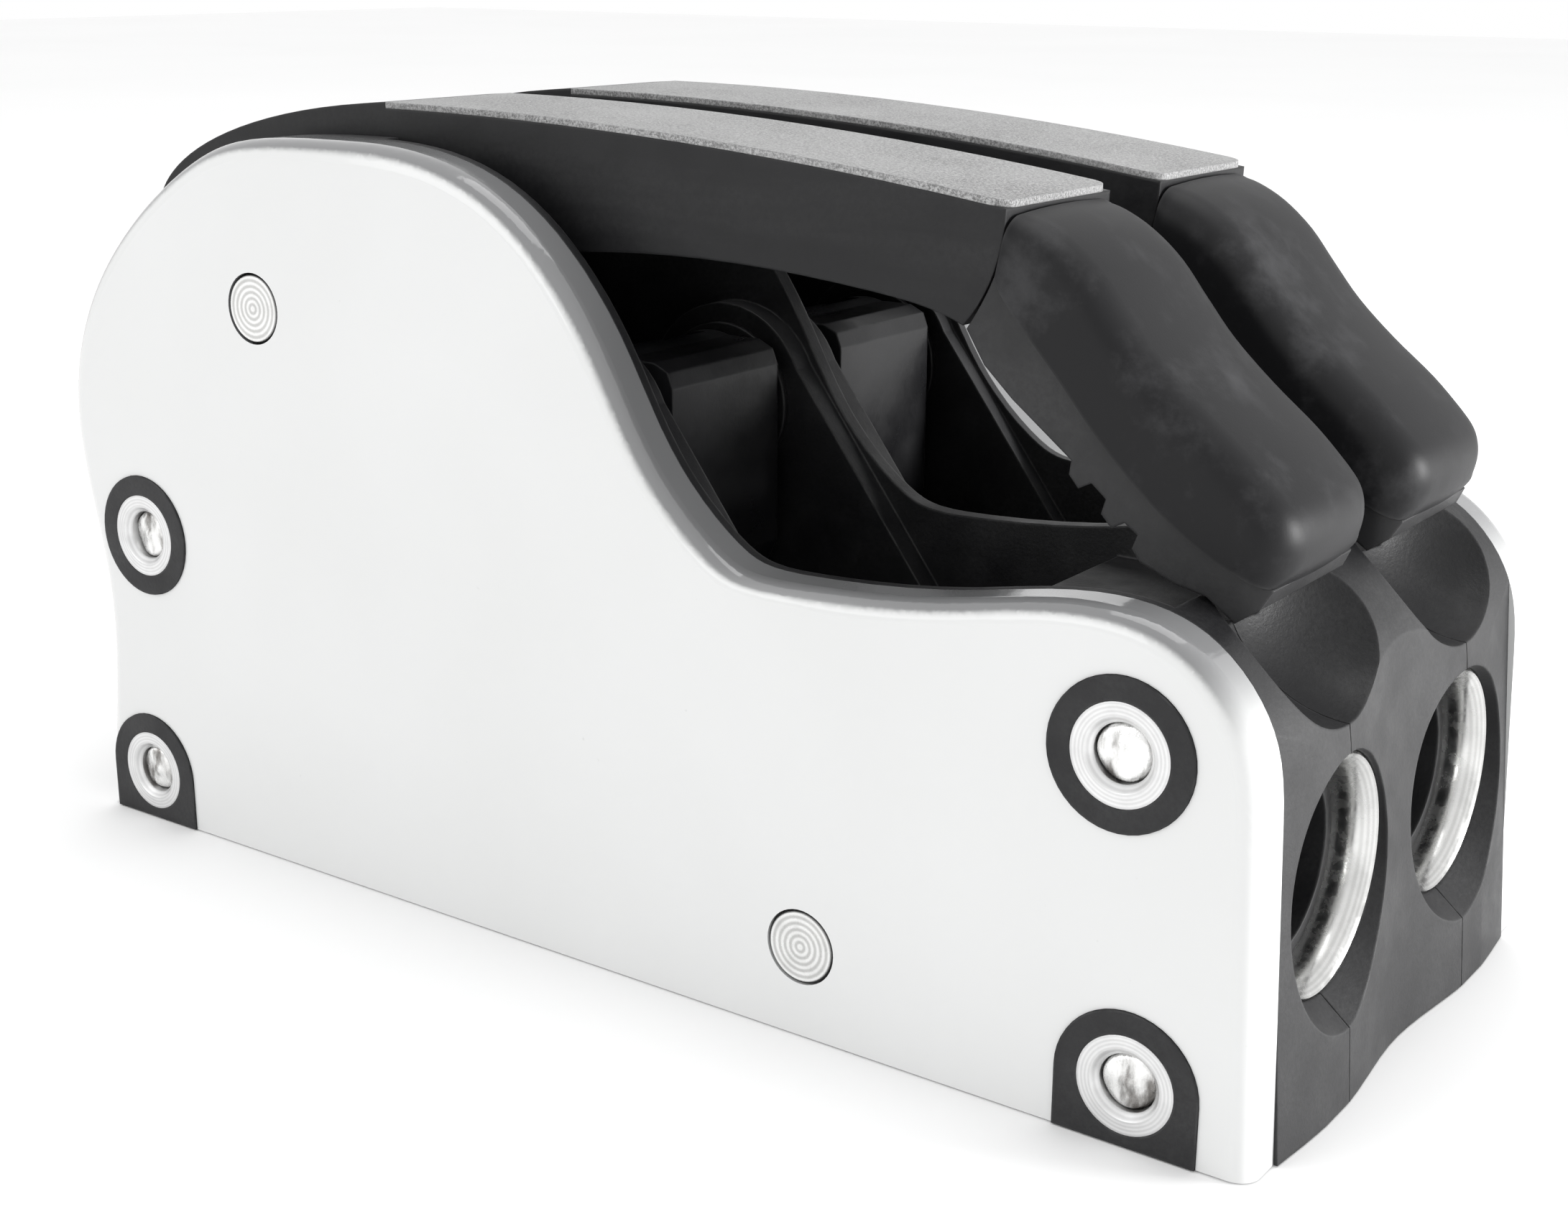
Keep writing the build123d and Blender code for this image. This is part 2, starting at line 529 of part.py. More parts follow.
def lever_arm(name, lane_y):
    """Hand lever: a channel-section arm with a solid hub and a toe over the cam's heel."""
    half = LEVER_WIDTH / 2
    inner = half - LEVER_SKIN
    toe_x = CAM_PIN[0] - HEEL_LENGTH - 1.5
    toe_z = HEEL_TOP + TOE_GAP + HEEL_RADIUS
    with BuildPart() as arm:
        extrude(lever_outline(lane_y + half), amount=LEVER_WIDTH)
        with BuildSketch(side_plane(lane_y + inner)):
            with BuildLine():
                Polyline((-33.0, 82.0), (-33.0, 99.6), (8.0, 98.6), (44.0, 93.8), (44.0, 80.0), close=True)
            make_face()
        extrude(amount=2 * inner, mode=Mode.SUBTRACT)
        with BuildSketch(side_plane(lane_y - 0.4)):
            with BuildLine():
                Polyline((-40.0, 92.0), (-52.0, 72.0), (toe_x - 1.0, toe_z - HEEL_RADIUS))
                ThreePointArc((toe_x - 1.0, toe_z - HEEL_RADIUS), (toe_x + HEEL_RADIUS - 1.0, toe_z),
                              (toe_x, toe_z + HEEL_RADIUS))
                Polyline((toe_x, toe_z + HEEL_RADIUS), (-31.0, 84.0), (-31.0, 92.0), (-40.0, 92.0))
            make_face()
        extrude(amount=inner - 0.6)
        side_holes((LEVER_PIN,), HUB_BUSH_RADIUS + ASSEMBLY_FIT, lane_y - half, lane_y + half)
    save(arm.part, name)


def lever_bush(name, lane_y):
    """Plain bearing pressed into the lever's hub."""
    half = LEVER_WIDTH / 2 + 0.9
    with BuildPart() as bush:
        side_bar(LEVER_PIN, HUB_BUSH_RADIUS, lane_y - half, lane_y + half)
        side_holes((LEVER_PIN,), PIN_RADIUS + RUNNING_FIT, lane_y - half, lane_y + half)
    save(bush.part, name)


def label_strip(name, lane_y):
    """Pale strip for a written label, let into the top of the lever."""
    top = label_line(0.0)
    under = label_line(LABEL_THICK)
    with BuildPart() as strip:
        with BuildSketch(side_plane(lane_y + LEVER_WIDTH / 2)):
            with BuildLine():
                Spline(*top, tangents=((1, 0.0), (1, -0.14)))
                Line(top[-1], under[-1])
                Spline(*reversed(under), tangents=((-1, 0.14), (-1, 0.0)))
                Line(under[0], top[0])
            make_face()
        extrude(amount=LEVER_WIDTH)
        corners = strip.edges().filter_by(Axis.Z).sort_by(Axis.X)[-2:]
        fillet(corners, 2.4)
    save(strip.part, name)


def grip_core(name, lane_y):
    """Hard core of the grip with the thumb notches on its underside; its seam runs to the tip."""
    keep = tip_rounding(lane_y, LEVER_WIDTH)
    root_x, root_z = GRIP_SEAM[0]
    with BuildPart() as core:
        with BuildSketch(side_plane(lane_y + LEVER_WIDTH / 2)):
            with BuildLine():
                Spline(*GRIP_SEAM)
                Polyline(GRIP_SEAM[-1], (85.2, 59.4), (82.8, 57.7), (81.4, 58.7), (79.4, 60.1), (75.5, 60.9),
                         (71.4, 62.6), (70.4, 63.9), (71.0, 65.5), (69.4, 66.6), (67.8, 65.8), (66.5, 67.2),
                         (67.0, 68.9), (65.2, 70.4), (63.6, 69.6), (62.4, 71.0), (62.6, 72.6),
                         (59.6, 74.9), (55.0, 78.4), (51.3, 81.8), (48.9, 85.6))
                ThreePointArc((48.9, 85.6), (51.6, 90.2), (root_x, root_z + 2.0))
                Line((root_x, root_z + 2.0), (root_x, root_z))
            make_face()
        extrude(amount=LEVER_WIDTH)
        with BuildSketch(side_plane(lane_y + CORE_RIB_WIDTH)):
            with BuildLine():
                Polyline((54.0, 86.0), (50.6, 82.6), (53.6, 77.6), (57.6, 73.8), (61.6, 71.0), (66.0, 70.0),
                         (60.0, 80.0), close=True)
            make_face()
        extrude(amount=CORE_RIB_WIDTH)
        add(keep, mode=Mode.INTERSECT)
    save(core.part, name)


def grip_cover(name, lane_y):
    """Soft cover over the top and the end of the grip."""
    keep = tip_rounding(lane_y, GRIP_WIDTH)
    root_x, root_z = GRIP_SEAM[0]
    with BuildPart() as cover:
        with BuildSketch(side_plane(lane_y + GRIP_WIDTH / 2)):
            with BuildLine():
                Spline(*GRIP_SEAM)
                Polyline((root_x, root_z), (root_x, root_z + 2.2), (54.0, 98.4))
                Spline((54.0, 98.4), (59.8, 95.6), (66.8, 89.2), (71.4, 85.2), (77.0, 80.2), (83.6, 73.9),
                       tangents=((1, -0.3), (1, -0.95)))
                Spline((83.6, 73.9), (88.0, 69.4), (88.3, 65.4), GRIP_SEAM[-1], tangents=((1, -0.95), (-0.5, -1)))
            make_face()
        extrude(amount=GRIP_WIDTH)
        add(keep, mode=Mode.INTERSECT)
    save(cover.part, name)


def tip_rounding(lane_y, width):
    """Plan of a grip with a round-cornered tip, to be kept when the grip is cut to it."""
    back_x = 40.0
    with BuildPart() as keep:
        with BuildSketch(Plane.XY):
            with Locations(((back_x + GRIP_TIP_X) / 2, lane_y)):
                RectangleRounded(GRIP_TIP_X - back_x, width, TIP_CORNER)
        extrude(amount=CAVITY_TOP)
    return keep.part


# ---- deck fixings -------------------------------------------------------------------------------
def threaded_inserts():
    """Four inserts trapped between the mouldings, for bolts from under the deck."""
    with BuildPart() as inserts:
        with BuildSketch(Plane.XY):
            for lane_y in LANES.values():
                with Locations((DECK_BOLT_X, lane_y), (-DECK_BOLT_X, lane_y)):
                    Circle(INSERT_RADIUS)
                    Circle(INSERT_BORE, mode=Mode.SUBTRACT)
        extrude(amount=INSERT_LENGTH)
    save(inserts.part, "deck_threaded_inserts")


os.makedirs("parts", exist_ok=True)
for side in LANES:
    side_plate(side)
body_moulding("near", -HALF_INSIDE, LANES["near"] - SEAM_GAP / 2)
body_moulding("middle", LANES["near"] + SEAM_GAP / 2, LANES["far"] - SEAM_GAP / 2)
body_moulding("far", LANES["far"] + SEAM_GAP / 2, HALF_INSIDE)
for place in TIE_PLACES:
    spacer_tube(place)
    tie_rod(place)
cross_pin(LEVER_PIN, "lever_pivot_pin")
cross_pin(LOWER_PIN, "lower_jaw_pin")
for lane, centre_y in LANES.items():
    rope_bush(f"{lane}_entry_bush", centre_y, ENTRY_FACE_X, 1)
    rope_bush(f"{lane}_exit_bush", centre_y, EXIT_FACE_X, -1)
    lower_jaw(f"{lane}_lower_jaw", centre_y)
    cam_jaw(f"{lane}_cam_jaw", centre_y)
    cam_pin(f"{lane}_cam_pin", centre_y)
    cam_washers(f"{lane}_cam_washers", centre_y)
    cam_spring(f"{lane}_cam_spring", centre_y)
    lever_arm(f"{lane}_lever_arm", centre_y)
    lever_bush(f"{lane}_lever_bush", centre_y)
    label_strip(f"{lane}_label_strip", centre_y)
    grip_core(f"{lane}_grip_core", centre_y)
    grip_cover(f"{lane}_grip_cover", centre_y)
threaded_inserts()
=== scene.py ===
"""Looks for the twin-lane lever rope clutch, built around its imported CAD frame."""
import math

import bmesh
import bpy
from mathutils import Matrix, Vector


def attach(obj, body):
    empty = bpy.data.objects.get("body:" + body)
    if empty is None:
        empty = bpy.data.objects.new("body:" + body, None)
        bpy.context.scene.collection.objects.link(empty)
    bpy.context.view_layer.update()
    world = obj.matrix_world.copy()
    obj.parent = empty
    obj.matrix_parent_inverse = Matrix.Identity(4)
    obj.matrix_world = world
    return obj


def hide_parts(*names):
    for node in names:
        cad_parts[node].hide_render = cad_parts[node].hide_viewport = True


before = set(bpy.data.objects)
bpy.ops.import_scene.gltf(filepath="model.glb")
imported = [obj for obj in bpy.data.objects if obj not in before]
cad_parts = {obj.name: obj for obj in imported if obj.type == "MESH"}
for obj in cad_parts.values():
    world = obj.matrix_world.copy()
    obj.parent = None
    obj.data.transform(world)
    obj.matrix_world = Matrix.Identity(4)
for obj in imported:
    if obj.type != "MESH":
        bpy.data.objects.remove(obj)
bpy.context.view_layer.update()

MM = 0.001
LANE_Y = {"near": -18.3 * MM, "far": 18.3 * MM}
LEVER_PIN = (-54.5 * MM, 79.3 * MM)
LOWER_PIN = (35.4 * MM, 11.6 * MM)
ROPE_Z = 26.8 * MM
TIE_PLACES = {
    "front_top": (76.3 * MM, 45.1 * MM),
    "front_bottom": (78.9 * MM, 7.4 * MM),
    "rear_middle": (-80.7 * MM, 44.0 * MM),
    "rear_bottom": (-82.9 * MM, 7.4 * MM),
}

CAMERA_PLACE = Vector((0.17535, -0.24015, 0.12648))
CAMERA_YAW = math.radians(35.74)
CAMERA_PITCH = math.radians(73.18)
CAMERA_ROLL = math.radians(0.27)
CAMERA_LENS = 51.09


# ---- node materials -----------------------------------------------------------------------------
class Look:
    """A node material; each method adds one step and hands back its output socket."""

    def __init__(self, name, metallic=0.0, specular=0.5, coat=0.0, coat_roughness=0.1):
        self.material = bpy.data.materials.new(name)
        self.material.use_nodes = True
        self.tree = self.material.node_tree
        self.shader = self.tree.nodes["Principled BSDF"]
        self.shader.inputs["Metallic"].default_value = metallic
        self.shader.inputs["Specular IOR Level"].default_value = specular
        self.shader.inputs["Coat Weight"].default_value = coat
        self.shader.inputs["Coat Roughness"].default_value = coat_roughness
        self.place = self.add("ShaderNodeTexCoord").outputs["Object"]

    def add(self, kind, inputs=None, **settings):
        node = self.tree.nodes.new(kind)
        for key, value in settings.items():
            setattr(node, key, value)
        for key, value in (inputs or {}).items():
            if isinstance(value, bpy.types.NodeSocket):
                self.tree.links.new(value, node.inputs[key])
            else:
                node.inputs[key].default_value = value
        return node

    def math(self, operation, first, second=0.0):
        return self.add("ShaderNodeMath", {0: first, 1: second}, operation=operation).outputs[0]

    def noise(self, millimetres, detail=3.0, stretch=(1, 1, 1), roughness=0.55, seed=0.0):
        """Noise from 0 to 1 whose features are about this many millimetres across."""
        moved = self.add("ShaderNodeMapping", {"Vector": self.place, "Scale": stretch,
                                               "Location": (seed, seed, seed)}).outputs[0]
        return self.add("ShaderNodeTexNoise", {"Vector": moved, "Scale": 1.0 / (millimetres * MM),
                                               "Detail": detail, "Roughness": roughness}).outputs["Fac"]

    def scale(self, value, low, high, start=0.0, end=1.0):
        """Value's range low to high becomes start to end, smoothly and without going past."""
        inputs = {"Value": value, "From Min": low, "From Max": high, "To Min": start, "To Max": end}
        return self.add("ShaderNodeMapRange", inputs, interpolation_type="SMOOTHSTEP").outputs["Result"]

    def blend(self, factor, first, second):
        """Colour between first and second."""
        colours = {6: first, 7: second}
        for key, value in colours.items():
            if not isinstance(value, bpy.types.NodeSocket):
                colours[key] = (*value, 1.0)
        return self.add("ShaderNodeMix", {0: factor, **colours}, data_type="RGBA").outputs[2]

    def edges(self, millimetres, low=0.02, high=0.25):
        """1 on sharp edges and 0 on flat faces."""
        round_normal = self.add("ShaderNodeBevel", {"Radius": millimetres * MM}, samples=6).outputs[0]
        true_normal = self.add("ShaderNodeNewGeometry").outputs["Normal"]
        aligned = self.add("ShaderNodeVectorMath", {0: round_normal, 1: true_normal},
                           operation="DOT_PRODUCT").outputs["Value"]
        return self.scale(self.math("SUBTRACT", 1.0, aligned), low, high)

    def radius_about(self, across, up, axis="Y"):
        """Distance from a line parallel to an axis, in metres."""
        parts = self.add("ShaderNodeSeparateXYZ", {0: self.place}).outputs
        side = self.math("SUBTRACT", parts["X" if axis == "Y" else "Y"], across)
        rise = self.math("SUBTRACT", parts["Z"], up)
        squares = self.math("ADD", self.math("MULTIPLY", side, side), self.math("MULTIPLY", rise, rise))
        return self.math("SQRT", squares)

    def rings(self, radius, millimetres):
        """Turning marks: waves that repeat along the radius."""
        return self.math("SINE", self.math("MULTIPLY", radius, 2 * math.pi / (millimetres * MM)))

    def finish(self, colour, roughness, heights=(), rounding=0.0):
        """Wire the shader; heights are (socket, strength, millimetres) bumps."""
        self.tree.links.new(colour, self.shader.inputs["Base Color"])
        self.tree.links.new(roughness, self.shader.inputs["Roughness"])
        normal = None
        if rounding:
            normal = self.add("ShaderNodeBevel", {"Radius": rounding * MM}, samples=6).outputs[0]
        for height, strength, depth in heights:
            inputs = {"Height": height, "Strength": strength, "Distance": depth * MM}
            if normal is not None:
                inputs["Normal"] = normal
            normal = self.add("ShaderNodeBump", inputs).outputs[0]
        if normal is not None:
            self.tree.links.new(normal, self.shader.inputs["Normal"])
            if self.shader.inputs["Coat Weight"].default_value:
                self.tree.links.new(normal, self.shader.inputs["Coat Normal"])
        return self.material


def white_coat():
    """Gloss powder coat with faint orange peel; the plate's upper edge is painted darker grey, as painted
    shade and dark reflection of the black levers above.
    """
    look = Look("white_coat", specular=0.5, coat=0.6, coat_roughness=0.05)
    cloud = look.noise(40, detail=2)
    paint = look.blend(cloud, (0.66, 0.665, 0.66), (0.72, 0.725, 0.725))
    facing = look.add("ShaderNodeNewGeometry").outputs["Normal"]
    normal = look.add("ShaderNodeSeparateXYZ", {0: facing}).outputs
    place = look.add("ShaderNodeSeparateXYZ", {0: look.place}).outputs
    # painted shade: faces of the upper rim that turn away from the plate's sides are greyed, standing in for
    # the shade and dark reflection of the black levers above
    rim = look.scale(look.math("ABSOLUTE", normal["Y"]), 0.97, 0.75)
    upper = look.scale(place["Z"], 47 * MM, 57 * MM)
    shade = look.math("MULTIPLY", rim, upper)
    colour = look.blend(shade, paint, (0.20, 0.202, 0.205))
    specks = look.scale(look.noise(1.2, detail=5, seed=3.0), 0.71, 0.78)
    colour = look.blend(look.math("MULTIPLY", specks, 0.25), colour, (0.45, 0.45, 0.44))
    roughness = look.scale(look.noise(18, detail=4, seed=1.0), 0.3, 0.7, 0.10, 0.20)
    return look.finish(colour, roughness, [(look.noise(2.2, detail=2), 0.05, 0.02)])


def moulded_black(name, dark, light, grain, rough, worn=0.5, drawn=None, specular=0.28, texture=0.35):
    """Moulded plastic: fine grain, cloudy wear and edges rubbed pale."""
    look = Look(name, specular=specular)
    cloud = look.scale(look.noise(14, detail=5, stretch=drawn or (1, 1, 1)), 0.35, 0.7)
    pits = look.noise(grain, detail=4, roughness=0.7)
    colour = look.blend(look.math("MULTIPLY", cloud, look.scale(pits, 0.3, 0.7, 0.3, 1.0)), dark, light)
    wear = look.math("MULTIPLY", look.edges(0.5), look.scale(look.noise(3, detail=4, seed=2.0), 0.35, 0.65))
    pale = tuple(0.05 + channel for channel in light)
    colour = look.blend(look.math("MULTIPLY", wear, worn), colour, pale)
    roughness = look.scale(look.noise(7, detail=4, seed=5.0), 0.3, 0.7, rough - 0.07, rough + 0.07)
    heights = [(pits, texture, 0.06),
               (look.noise(9, detail=2, stretch=drawn or (1, 1, 1), seed=7.0), 0.15, 0.15)]
    return look.finish(colour, roughness, heights, rounding=0.45)


def grip_rubber():
    """Soft over-moulded cover with dusty scuffs."""
    look = Look("grip_rubber", specular=0.25)
    scuff = look.scale(look.noise(9, detail=6, roughness=0.65, seed=11.0), 0.48, 0.78)
    colour = look.blend(scuff, (0.006, 0.006, 0.007), (0.034, 0.034, 0.036))
    wear = look.edges(0.8)
    colour = look.blend(look.math("MULTIPLY", wear, 0.4), colour, (0.04, 0.04, 0.04))
    roughness = look.scale(scuff, 0.0, 1.0, 0.48, 0.62)
    scratches = look.scale(look.noise(1.0, detail=3, stretch=(1, 0.12, 1), seed=4.0), 0.62, 0.75)
    heights = [(look.noise(0.35, detail=3), 0.2, 0.04), (scratches, 0.1, 0.03)]
    return look.finish(colour, roughness, heights)


def label_grey():
    """Writable strip: pale grey with a fine dark speckle."""
    look = Look("label_grey", specular=0.4)
    speckle = look.noise(0.30, detail=3, roughness=0.8)
    colour = look.blend(look.scale(speckle, 0.36, 0.66), (0.10, 0.10, 0.10), (0.42, 0.42, 0.42))
    cloud = look.scale(look.noise(22, detail=3, seed=3.0), 0.3, 0.7, 0.0, 0.25)
    colour = look.blend(cloud, colour, (0.45, 0.45, 0.45))
    colour = look.blend(look.math("MULTIPLY", look.edges(0.4), 0.4), colour, (0.45, 0.45, 0.45))
    roughness = look.scale(speckle, 0.3, 0.7, 0.45, 0.65)
    return look.finish(colour, roughness, [(speckle, 0.35, 0.05)], rounding=0.3)


def turned_metal(name, centre, dark, light, rough, groove, axis="Y", depth=0.03, rim=None, rounding=0.25):
    """Turned metal with fine rings about its own axis and a few stains; past its rim it is painted dark as
    painted shade of the recess round its end.
    """
    look = Look(name, metallic=1.0)
    radius = look.radius_about(*centre, axis=axis)
    rings = look.rings(radius, groove)
    fine = look.noise(0.25, detail=4, seed=9.0)
    stain = look.scale(look.noise(3.0, detail=5, seed=6.0), 0.4, 0.75)
    colour = look.blend(look.scale(look.math("ADD", rings, fine), -0.6, 1.6), dark, light)
    colour = look.blend(look.math("MULTIPLY", stain, 0.2), colour, tuple(channel * 0.6 for channel in dark))
    if rim:
        # painted shade: the dark band past the rim stands in for the shadow in the recess round the pin end
        painted_recess_shade = look.scale(radius, (rim - 0.35) * MM, rim * MM)
        colour = look.blend(painted_recess_shade, colour, (0.05, 0.05, 0.05))
    roughness = look.scale(look.noise(1.5, detail=4, seed=2.0), 0.3, 0.7, rough - 0.06, rough + 0.08)
    return look.finish(colour, roughness, [(rings, 0.25, depth), (fine, 0.15, depth / 2)], rounding=rounding)


def sheared_steel(name):
    """Cut rod end: bright metal, ragged from cropping; its dark patches are partly the ragged surface and
    partly painted reflection of dark surroundings.
    """
    look = Look(name, metallic=1.0)
    tear_and_reflection = look.noise(2.6, detail=6, stretch=(1, 1, 0.4), roughness=0.55, seed=1.0)
    # painted reflection: the dark patches stand partly for the ragged cropped surface and partly for dark
    # surroundings reflected in the steel
    colour = look.blend(look.scale(tear_and_reflection, 0.36, 0.58), (0.20, 0.19, 0.18), (0.88, 0.88, 0.87))
    roughness = look.scale(look.noise(0.8, detail=3), 0.3, 0.7, 0.12, 0.38)
    return look.finish(colour, roughness, [(tear_and_reflection, 0.9, 0.5)], rounding=0.3)


def plain_metal(name, dark, light, rough, millimetres=2.0):
    """Hard-coated or bearing metal with mottling and bright edges."""
    look = Look(name, metallic=0.9)
    mottle = look.noise(millimetres, detail=5)
    colour = look.blend(look.scale(mottle, 0.3, 0.7), dark, light)
    bright = tuple(min(1.0, channel * 2.0) for channel in light)
    colour = look.blend(look.math("MULTIPLY", look.edges(0.4), 0.6), colour, bright)
    roughness = look.scale(mottle, 0.3, 0.7, rough - 0.08, rough + 0.08)
    return look.finish(colour, roughness, [(mottle, 0.3, 0.05)], rounding=0.3)


def dress(node, material):
    """Give a CAD node this material in every slot that it has."""
    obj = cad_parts[node]
    if not obj.material_slots:
        obj.data.materials.append(material)
    for slot in obj.material_slots:
        slot.material = material


coat = white_coat()
body_black = moulded_black("body_black", (0.006, 0.006, 0.007), (0.024, 0.024, 0.025), 0.6, 0.5,
                           worn=0.8, specular=0.4, texture=0.8)
lever_black = moulded_black("lever_black", (0.009, 0.009, 0.010), (0.018, 0.018, 0.019), 0.8, 0.42,
                            worn=0.35, drawn=(0.25, 1, 2.5))
core_grey = moulded_black("core_grey", (0.020, 0.020, 0.021), (0.034, 0.034, 0.035), 0.9, 0.45, worn=0.3)
cam_black = moulded_black("cam_black", (0.008, 0.008, 0.009), (0.013, 0.013, 0.014), 1.2, 0.34, worn=0.5)
rubber = grip_rubber()
label = label_grey()
jaw_dark = plain_metal("jaw_dark", (0.05, 0.05, 0.052), (0.11, 0.11, 0.115), 0.42)
bronze = plain_metal("bearing_bronze", (0.38, 0.27, 0.12), (0.58, 0.44, 0.22), 0.35)
spring_wire = plain_metal("spring_wire", (0.40, 0.40, 0.41), (0.62, 0.62, 0.62), 0.3)
insert_steel = plain_metal("insert_steel", (0.40, 0.40, 0.40), (0.60, 0.60, 0.59), 0.35)
rod_steel = sheared_steel("rod_steel")

for side in ("near", "far"):
    dress(f"{side}_side_plate", coat)
for part in ("near", "middle", "far"):
    dress(f"{part}_body_moulding", body_black)
for place, centre in TIE_PLACES.items():
    ring = turned_metal(f"{place}_ring", centre, (0.66, 0.66, 0.66), (0.78, 0.78, 0.78), 0.38, 0.45,
                        depth=0.008)
    dress(f"{place}_spacer_tube", ring)
    dress(f"{place}_tie_rod", rod_steel)
for node, centre in (("lever_pivot_pin", LEVER_PIN), ("lower_jaw_pin", LOWER_PIN)):
    pin_end = turned_metal(f"{node}_end", centre, (0.55, 0.55, 0.54), (0.86, 0.86, 0.85), 0.24, 0.8, rim=4.55)
    dress(node, pin_end)
dress("deck_threaded_inserts", insert_steel)
for lane, lane_y in LANE_Y.items():
    polished = turned_metal(f"{lane}_bush_steel", (lane_y, ROPE_Z), (0.60, 0.60, 0.59), (0.72, 0.72, 0.71),
                            0.24, 0.4, axis="X", depth=0.004, rounding=0.0)
    dress(f"{lane}_entry_bush", polished)
    dress(f"{lane}_exit_bush", polished)
    dress(f"{lane}_lower_jaw", jaw_dark)
    dress(f"{lane}_cam_jaw", cam_black)
    dress(f"{lane}_cam_pin", insert_steel)
    dress(f"{lane}_cam_washers", body_black)
    dress(f"{lane}_cam_spring", spring_wire)
    dress(f"{lane}_lever_arm", lever_black)
    dress(f"{lane}_lever_bush", bronze)
    dress(f"{lane}_label_strip", label)
    dress(f"{lane}_grip_core", core_grey)
    dress(f"{lane}_grip_cover", rubber)


def mesh_piece(name, form, material):
    """Turn finished bmesh work into a smooth-shaded object."""
    for face in form.faces:
        face.smooth = True
    mesh = bpy.data.meshes.new(name)
    form.to_mesh(mesh)
    form.free()
    mesh.materials.append(material)
    piece = bpy.data.objects.new(name, mesh)
    bpy.context.collection.objects.link(piece)
    return piece


# ---- grips --------------------------------------------------------------------------------------
GRIP_TOP = ((53.9, 98.6), (56.8, 97.8), (60.4, 95.9), (64.0, 92.9), (67.3, 88.9), (71.0, 84.6),
            (76.2, 80.0), (81.7, 75.7), (85.6, 72.0), (87.6, 69.8), (88.5, 67.6), (88.6, 65.4),
            (88.0, 63.2), (86.6, 61.5))
GRIP_SEAM = ((52.4, 91.4), (54.8, 88.2), (57.8, 84.9), (61.2, 81.2), (64.9, 76.9), (68.7, 73.0),
             (72.6, 69.5), (76.5, 66.6), (78.6, 65.3), (80.0, 64.5), (80.8, 64.1), (81.6, 63.8),
             (82.4, 63.4), (83.4, 63.0))
GRIP_HALF_WIDTH = 12.75
GRIP_CORNER = 4.4
TIP_CORNER = 6.5
TIP_ROWS = 20              # the corner grows over this many rows before the tip
COLLAR_ROWS = 2            # the collar beside the lever takes this many rows
GRIP_STEPS = 4


def smooth_path(points, steps):
    """Points on a smooth curve through the given ones, with this many steps between each two."""
    path = []
    for index in range(len(points) - 1):
        before = Vector(points[max(index - 1, 0)])
        start = Vector(points[index])
        end = Vector(points[index + 1])
        after = Vector(points[min(index + 2, len(points) - 1)])
        for step in range(steps):
            t = step / steps
            slope = end - before
            bend = 2 * before - 5 * start + 4 * end - after
            twist = 3 * start - before - 3 * end + after
            path.append(0.5 * (2 * start + slope * t + bend * t ** 2 + twist * t ** 3))
    path.append(Vector(points[-1]))
    return path


def grip_section(top, seam, half, corner):
    """One cross-section from seam to seam over the top, as (y, x, z) points."""
    top = Vector((0.0, top.x, top.y))
    seam = Vector((0.0, seam.x, seam.y))
    down = (seam - top).normalized()
    depth = (seam - top).length
    corner = min(corner, depth * 0.9)
    side = []
    for share in (0.0, 0.25, 0.5, 0.75, 1.0):
        side.append(top + down * (0.35 * share ** 2) + Vector((share * (half - corner), 0, 0)))
    for turn in (15, 30, 45, 60, 75, 90):
        angle = math.radians(turn)
        drop = min(0.35 + corner * (1 - math.cos(angle)), depth)
        side.append(top + down * drop + Vector((half - corner * (1 - math.sin(angle)), 0, 0)))
    last = side[-1] - top
    gone = last.dot(down)
    for share in (0.35, 0.7, 1.0):
        side.append(top + down * (gone + (depth - gone) * share) + Vector((half, 0, 0)))
    mirrored = [Vector((-point.x, point.y, point.z)) for point in reversed(side[1:])]
    return mirrored + side


def grip_cover(lane, lane_y):
    """Soft cover: sections lofted along the grip, rounded along its top and round its end."""
    form = bmesh.new()
    rows = []
    tops = smooth_path(GRIP_TOP, GRIP_STEPS)
    seams = smooth_path(GRIP_SEAM, GRIP_STEPS)
    for index, (top, seam) in enumerate(zip(tops, seams)):
        near_end = max(0.0, 1 - (len(tops) - 1 - index) / TIP_ROWS)
        collar = max(0.0, 1 - index / COLLAR_ROWS)
        half = GRIP_HALF_WIDTH - 0.5 * collar
        corner = GRIP_CORNER + (TIP_CORNER - GRIP_CORNER) * near_end - 1.6 * collar
        section = grip_section(top, seam, half, corner)
        rows.append([form.verts.new((point.y * MM, lane_y + point.x * MM, point.z * MM))
                     for point in section])
    for first, second in zip(rows, rows[1:]):
        for place in range(len(first) - 1):
            form.faces.new((first[place], first[place + 1], second[place + 1], second[place]))
        form.faces.new((first[-1], first[0], second[0], second[-1]))
    form.faces.new(reversed(rows[0]))
    form.faces.new(rows[-1])
    bmesh.ops.recalc_face_normals(form, faces=form.faces)
    for edge in form.edges:
        if len(edge.link_faces) == 2 and edge.calc_face_angle() > math.radians(40):
            edge.smooth = False
    cover = mesh_piece(f"{lane}_soft_grip", form, rubber)
    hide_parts(f"{lane}_grip_cover")
    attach(cover, f"{lane}_lever")


# ---- tie rod ends -------------------------------------------------------------------------------
ROD_RADIUS = 3.4
ROD_END_Y = 41.5


def torn_end(place, angle, share):
    """How far a cropped rod end stands out, in millimetres, at a point on its face."""
    seed = place[0] * 900 + place[1] * 400
    ridge = 0.35 * math.sin(angle + seed) * share
    bump = 0.22 * math.sin(3 * angle + 2 * seed) * share ** 2
    return ridge + bump + 0.35 * (1 - share ** 2) - (0.5 if share > 0.95 else 0.0)


